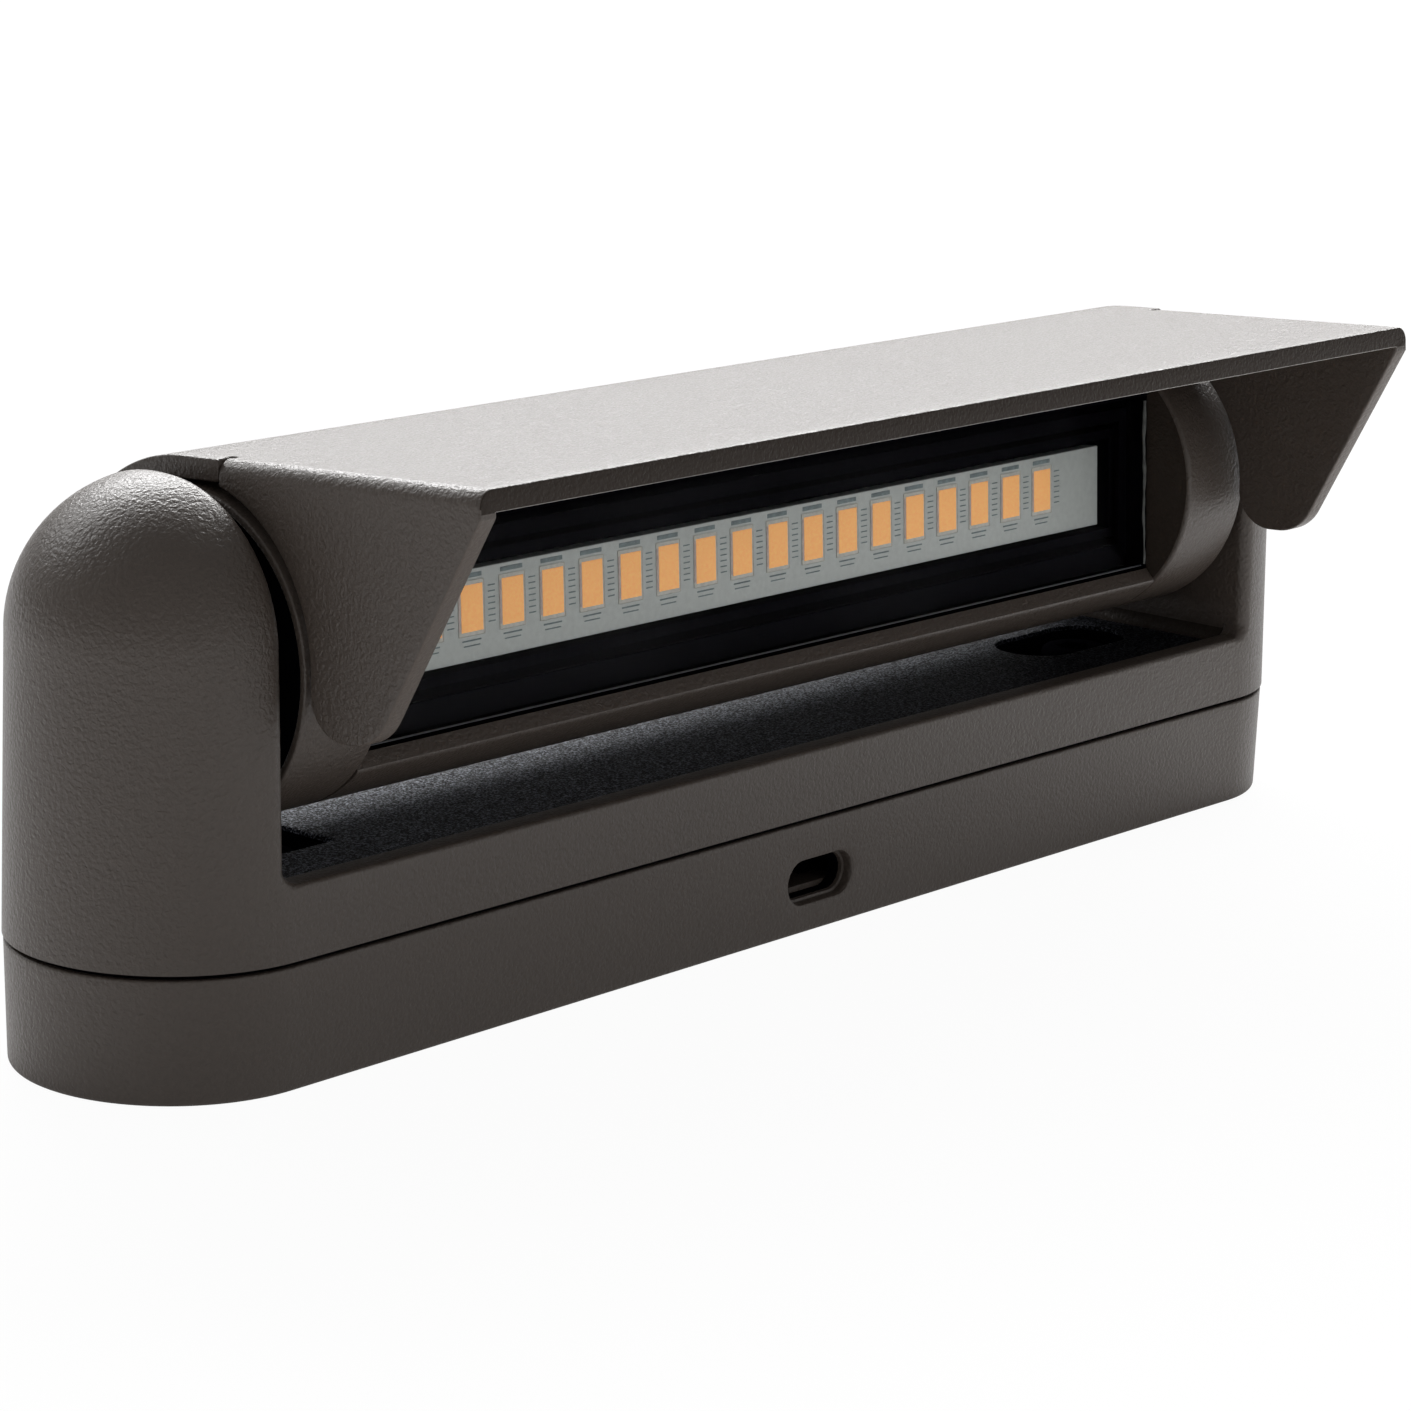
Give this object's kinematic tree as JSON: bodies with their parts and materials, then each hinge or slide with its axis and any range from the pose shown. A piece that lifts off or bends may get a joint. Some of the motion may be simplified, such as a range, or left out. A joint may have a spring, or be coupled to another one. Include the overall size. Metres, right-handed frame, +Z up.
{
  "type": "linear landscape light",
  "caption": "Small low-voltage linear light: a round-ended base, a yoke with two domed posts, and a tilting cylindrical head with a row of emitters under a folded hood.",
  "frame": {"origin": "centre of the flat underside of the base", "axes": "+X along the lamp, +Z up; the light leaves towards -Y"},
  "size_m": [0.111, 0.0339, 0.0357],
  "materials": {
    "bronze_paint": "fine-textured dark bronze powder coat, satin",
    "steel": "plain stainless",
    "black_steel": "black oxide",
    "brass": "turned",
    "rubber": "matte black",
    "black_plastic": "matte black",
    "green_board": "satin solder mask",
    "light_board": "satin grey-green solder mask",
    "phosphor": "satin amber",
    "clear_glass": "clear, polished"
  },
  "bodies": {
    "stand": {"base_housing": "bronze_paint", "bottom_plate": "bronze_paint", "bottom_seal": "rubber", "seam_seal": "rubber", "wire_seal": "rubber", "driver_board": "green_board", "terminal_block": "black_plastic", "yoke": "bronze_paint", "bottom_plate_screw_1": "steel", "bottom_plate_screw_2": "steel", "bottom_plate_screw_3": "steel", "bottom_plate_screw_4": "steel", "yoke_screw_left": "black_steel", "yoke_screw_right": "black_steel", "friction_washer_left": "rubber", "friction_washer_right": "rubber", "pivot_bushing_left": "black_plastic", "pivot_bushing_right": "black_plastic"},
    "head": {"head_body": "bronze_paint", "hood": "bronze_paint", "lens_glass": "clear_glass", "lens_seal": "rubber", "led_tray": "black_plastic", "led_board": "light_board", "pivot_stud_left": "steel", "pivot_tube_right": "brass", "end_cap_left": "bronze_paint", "end_cap_right": "bronze_paint", "end_cap_screw_left_low": "steel", "end_cap_screw_left_high": "steel", "end_cap_screw_right_low": "steel", "end_cap_screw_right_high": "steel", "pivot_nut_left": "steel", "pivot_nut_right": "steel", "hood_screw_left": "steel", "hood_screw_right": "steel", "led_01": "phosphor", "led_02": "phosphor", "led_03": "phosphor", "led_04": "phosphor", "led_05": "phosphor", "led_06": "phosphor", "led_07": "phosphor", "led_08": "phosphor", "led_09": "phosphor", "led_10": "phosphor", "led_11": "phosphor", "led_12": "phosphor", "led_13": "phosphor", "led_14": "phosphor", "led_15": "phosphor", "led_16": "phosphor", "led_17": "phosphor", "led_18": "phosphor"}
  },
  "joints": [
    {"name": "head_tilt", "type": "hinge", "parent": "stand", "child": "head", "pos_m": [0, 0, 0.0232], "axis": [-1, 0, 0], "range_deg": [-30, 90]}
  ]
}
